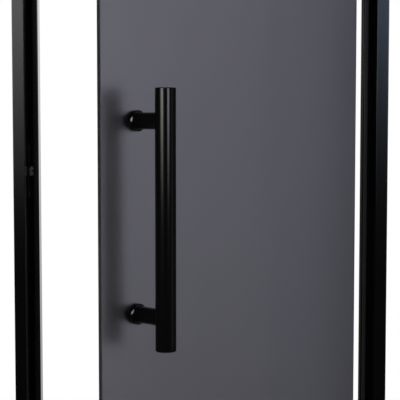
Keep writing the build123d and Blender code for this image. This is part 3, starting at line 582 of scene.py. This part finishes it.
def light_panel(name, receivers, along, plane, stops, low, high, power, peak, top=PANEL_TOP):
    """An upright soft light, seen only in first reflections and only from its front. Along X or Y it
    follows the stops, and up its height it grows as peak * ((z - low) / (high - low)) ** power, as far
    as the peak."""
    first, last = stops[0][0], stops[-1][0]
    edge = [(first, low), (first, top), (last, top), (last, low)]
    if along == "X":
        corners = [(across, plane, height) for across, height in edge]
    else:
        corners = [(plane, across, height) for across, height in edge]
    mesh = bpy.data.meshes.new(name)
    mesh.from_pydata(corners, [], [(0, 1, 2, 3)])
    panel = placed(name, mesh)
    panel.visible_camera = False
    panel.visible_diffuse = False
    panel.visible_transmission = False
    panel.visible_shadow = False
    panel.light_linking.receiver_collection = receivers
    finish, nodes, links, shader = blank_finish(name)
    nodes.remove(shader)
    place = nodes.new("ShaderNodeTexCoord")
    parts = nodes.new("ShaderNodeSeparateXYZ")
    share = share_node(nodes, first, last)
    ramp = colour_ramp(nodes, stops, first, last)
    ramp.color_ramp.interpolation = "EASE"
    up = share_node(nodes, low, high)
    growth = math_node(nodes, "POWER", power)
    gain = math_node(nodes, "MULTIPLY", peak)
    path = nodes.new("ShaderNodeLightPath")
    once = math_node(nodes, "LESS_THAN", FIRST_REFLECTION)
    lit = math_node(nodes, "MULTIPLY")
    glow = nodes.new("ShaderNodeEmission")
    side = nodes.new("ShaderNodeNewGeometry")
    clear = nodes.new("ShaderNodeBsdfTransparent")
    shown = nodes.new("ShaderNodeMixShader")
    links.new(place.outputs["Object"], parts.inputs["Vector"])
    links.new(parts.outputs[along], share.inputs["Value"])
    links.new(parts.outputs["Z"], up.inputs["Value"])
    links.new(share.outputs["Result"], ramp.inputs["Fac"])
    links.new(up.outputs["Result"], growth.inputs[0])
    links.new(growth.outputs["Value"], gain.inputs[0])
    links.new(ramp.outputs["Color"], glow.inputs["Color"])
    links.new(path.outputs["Ray Depth"], once.inputs[0])
    links.new(gain.outputs["Value"], lit.inputs[0])
    links.new(once.outputs["Value"], lit.inputs[1])
    links.new(lit.outputs["Value"], glow.inputs["Strength"])
    links.new(side.outputs["Backfacing"], shown.inputs["Fac"])
    links.new(glow.outputs["Emission"], shown.inputs[1])
    links.new(clear.outputs["BSDF"], shown.inputs[2])
    links.new(shown.outputs["Shader"], nodes["Material Output"].inputs["Surface"])
    mesh.materials.append(finish)


# Panels for the coats stand behind the camera, two for the bar's streaks and two for the jambs' faces
PANEL_PLANE = -3.0
LEFT_BAR_PANEL = [
    (-4.4, (0.0, 0.0, 0.0)),
    (-3.2, (0.35, 0.346, 0.335)),
    (-2.2, (0.8, 0.79, 0.77)),
    (-1.6, (1.0, 0.99, 0.97)),
    (-1.3, (0.85, 0.84, 0.82)),
    (-1.13, (0.0, 0.0, 0.0)),
]
LEFT_FACE_PANEL = [
    (-1.12, (0.0, 0.0, 0.0)),
    (-0.93, (1.0, 0.985, 0.985)),
    (-0.68, (1.0, 0.985, 0.985)),
    (-0.47, (0.0, 0.0, 0.0)),
]
RIGHT_BAR_PANEL = [
    (1.0, (0.0, 0.0, 0.0)),
    (1.1, (0.72, 0.73, 0.8)),
    (1.35, (0.95, 0.96, 1.04)),
    (1.85, (0.75, 0.76, 0.83)),
    (2.9, (0.0, 0.0, 0.0)),
]
RIGHT_FACE_PANEL = [
    (0.52, (0.0, 0.0, 0.0)),
    (0.68, (0.61, 0.89, 1.32)),
    (0.86, (0.61, 0.89, 1.32)),
    (0.99, (0.0, 0.0, 0.0)),
]

# Cards for the glass: one far in front of the door, one along the hinge jamb and a little in front of it
FRONT_CARD_PLANE = -3.2
FRONT_CARD = [
    (-4.0, (0.5, 0.5, 0.58)),
    (-1.0, (1.0, 1.0, 1.15)),
    (1.0, (1.0, 1.0, 1.15)),
    (4.0, (0.5, 0.5, 0.58)),
]
HINGE_CARD_PLANE = 0.3225
HINGE_CARD = [
    (-0.2, (0.02, 0.02, 0.03)),
    (-0.16, (1.02, 1.02, 1.31)),
    (-0.13, (1.8, 1.8, 2.3)),
    (-0.11, (1.12, 1.12, 1.43)),
    (-0.09, (1.12, 1.12, 1.43)),
    (-0.07, (1.19, 1.19, 1.52)),
    (-0.045, (1.03, 1.03, 1.32)),
    (-0.01, (0.89, 0.89, 1.14)),
    (0.018, (0.69, 0.69, 0.88)),
]

# Light seen in reflections round the compass: 0 in front of the door, 90 to its right, 180 behind it
SKY_LEVEL = 2.0
SKY_STOPS = [
    (-180, (0.04, 0.04, 0.04)),
    (-150, (0.015, 0.015, 0.015)),
    (-60, (0.02, 0.02, 0.02)),
    (52, (0.015, 0.015, 0.018)),
    (70, (0.118, 0.117, 0.141)),
    (82, (0.29, 0.288, 0.352)),
    (89, (0.105, 0.104, 0.129)),
    (93, (0.087, 0.086, 0.107)),
    (97.5, (0.066, 0.065, 0.082)),
    (101, (0.033, 0.032, 0.041)),
    (112, (0.03, 0.03, 0.035)),
    (157, (0.05, 0.05, 0.05)),
    (164, (1.0, 1.0, 1.0)),
    (174, (1.0, 1.0, 1.0)),
    (179, (0.04, 0.04, 0.04)),
    (180, (0.04, 0.04, 0.04)),
]

# The same light from straight down, -1, to straight up, 1
RISE_STOPS = [
    (-1.0, (0.1, 0.1, 0.1)),
    (-0.5, (0.3, 0.3, 0.3)),
    (-0.3, (0.622, 0.622, 0.603)),
    (0.25, (1.72, 1.72, 1.76)),
    (0.45, (0.2, 0.2, 0.2)),
    (1.0, (0.1, 0.1, 0.1)),
]
PLAIN_LIGHT = 0.75


def studio_light():
    """White to the camera and through the glass, a plain grey level on matt surfaces, and in reflections
    a dark studio with a white sweep behind the door and a dim wall on its right."""
    world = bpy.data.worlds.new("studio_light")
    bpy.context.scene.world = world
    world.use_nodes = True
    world.cycles.sampling_method = "NONE"
    nodes, links = world.node_tree.nodes, world.node_tree.links
    nodes.clear()
    place = nodes.new("ShaderNodeTexCoord")
    parts = nodes.new("ShaderNodeSeparateXYZ")
    links.new(place.outputs["Generated"], parts.inputs["Vector"])
    front = math_node(nodes, "MULTIPLY", -1.0)
    links.new(parts.outputs["Y"], front.inputs[0])
    bearing = math_node(nodes, "ARCTAN2")
    links.new(parts.outputs["X"], bearing.inputs[0])
    links.new(front.outputs["Value"], bearing.inputs[1])
    compass = share_node(nodes, -math.pi, math.pi)
    links.new(bearing.outputs["Value"], compass.inputs["Value"])
    ramp = colour_ramp(nodes, SKY_STOPS, -180.0, 180.0, SKY_LEVEL)
    links.new(compass.outputs["Result"], ramp.inputs["Fac"])
    rise = share_node(nodes, -1.0, 1.0)
    links.new(parts.outputs["Z"], rise.inputs["Value"])
    height = colour_ramp(nodes, RISE_STOPS, -1.0, 1.0, SKY_LEVEL)
    links.new(rise.outputs["Result"], height.inputs["Fac"])
    level = vector_node(nodes, "MULTIPLY")
    links.new(ramp.outputs["Color"], level.inputs[0])
    links.new(height.outputs["Color"], level.inputs[1])
    sky = vector_node(nodes, "SCALE")
    sky.inputs["Scale"].default_value = SKY_LEVEL ** 2
    links.new(level.outputs["Vector"], sky.inputs[0])
    path = nodes.new("ShaderNodeLightPath")
    plain = math_node(nodes, "MAXIMUM")
    links.new(path.outputs["Is Camera Ray"], plain.inputs[0])
    links.new(path.outputs["Is Transmission Ray"], plain.inputs[1])
    shown = nodes.new("ShaderNodeMix")
    shown.data_type = "RGBA"
    shown.inputs["B"].default_value = (1.0, 1.0, 1.0, 1.0)
    links.new(plain.outputs["Value"], shown.inputs["Factor"])
    links.new(sky.outputs["Vector"], shown.inputs["A"])
    matt = nodes.new("ShaderNodeMix")
    matt.data_type = "RGBA"
    matt.inputs["B"].default_value = (PLAIN_LIGHT, PLAIN_LIGHT, PLAIN_LIGHT, 1.0)
    links.new(path.outputs["Is Diffuse Ray"], matt.inputs["Factor"])
    links.new(shown.outputs["Result"], matt.inputs["A"])
    glow = nodes.new("ShaderNodeBackground")
    links.new(matt.outputs["Result"], glow.inputs["Color"])
    out = nodes.new("ShaderNodeOutputWorld")
    links.new(glow.outputs["Background"], out.inputs["Surface"])


# Camera, with its angles in degrees
CAMERA_SENSOR = 36.0
CAMERA_LENS = 107.93
CAMERA_PLACE = (0.0027, -2.2578, 1.154)
CAMERA_DIP = 3.9
CAMERA_TURN = 0.088


def photo_camera():
    """A long lens a little above the handle's middle, tipped slightly down."""
    camera = bpy.data.cameras.new("photo_camera")
    camera.sensor_width = CAMERA_SENSOR
    camera.lens = CAMERA_LENS
    holder = placed("photo_camera", camera)
    holder.location = CAMERA_PLACE
    holder.rotation_euler = (math.radians(90.0 - CAMERA_DIP), 0.0, math.radians(CAMERA_TURN))
    bpy.context.scene.camera = holder


studio_floor()
coats_only = panel_receivers("coats_only", "EXCLUDE")
glass_only = panel_receivers("glass_only", "INCLUDE")
light_panel("left_bar_panel", coats_only, "X", PANEL_PLANE, LEFT_BAR_PANEL,
            low=0.8, high=1.26, power=1.4, peak=10.8)
light_panel("left_face_panel", coats_only, "X", PANEL_PLANE, LEFT_FACE_PANEL,
            low=0.69, high=1.639, power=1.6, peak=2.58)
light_panel("right_bar_panel", coats_only, "X", PANEL_PLANE, RIGHT_BAR_PANEL,
            low=0.8, high=1.26, power=1.4, peak=9.5)
light_panel("right_face_panel", coats_only, "X", PANEL_PLANE, RIGHT_FACE_PANEL,
            low=0.74, high=1.637, power=2.4, peak=1.4)
light_panel("front_card", glass_only, "X", FRONT_CARD_PLANE, FRONT_CARD,
            low=-1.0, high=2.4, power=0.6, peak=0.15, top=3.4)
light_panel("hinge_card", glass_only, "Y", HINGE_CARD_PLANE, HINGE_CARD,
            low=0.03, high=1.4, power=0.5, peak=0.1, top=1.86)
studio_light()
photo_camera()
bpy.context.scene.view_settings.view_transform = "Standard"
